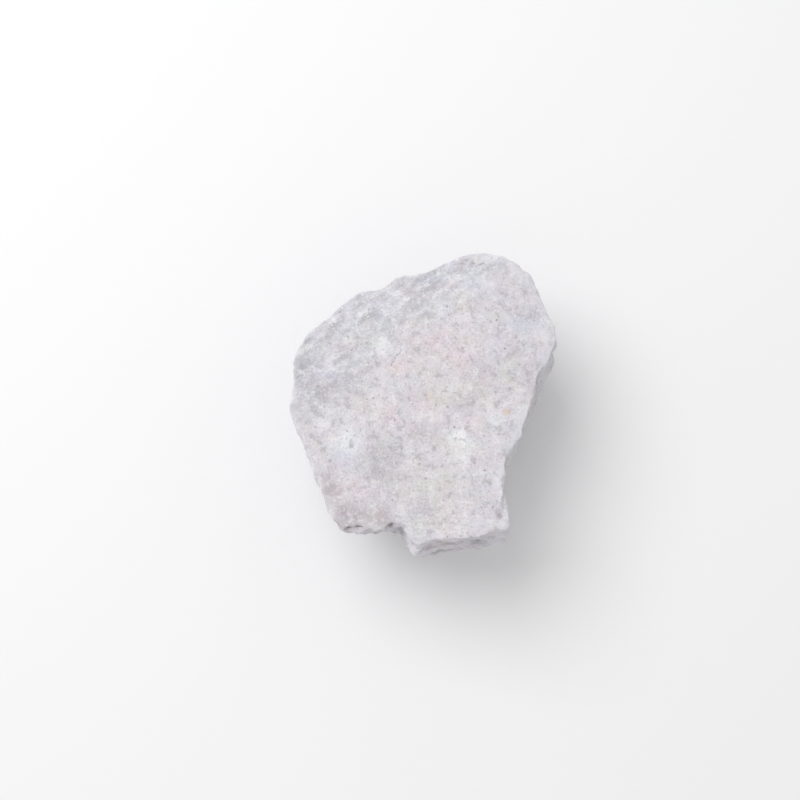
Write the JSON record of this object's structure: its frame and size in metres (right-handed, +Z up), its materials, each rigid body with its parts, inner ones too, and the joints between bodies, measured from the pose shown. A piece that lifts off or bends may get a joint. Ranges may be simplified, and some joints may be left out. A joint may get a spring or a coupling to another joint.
{
  "type": "kaolin clay lump",
  "caption": "Rough lump of dry white kaolin clay with a broad, nearly flat broken face, steep fractured walls, a notched front edge and a flat underside that it rests on.",
  "frame": {"origin": "on the surface that the lump rests on, under the middle of its box", "axes": "+Z up, out of the broad face; +Y away from the viewer, along the longest extent; +X to the viewer's right"},
  "size_m": [0.079, 0.0896, 0.047],
  "materials": {
    "clay": "dry, chalky and fully matte"
  },
  "bodies": {
    "root": {"clay_lump": "clay"}
  },
  "joints": []
}
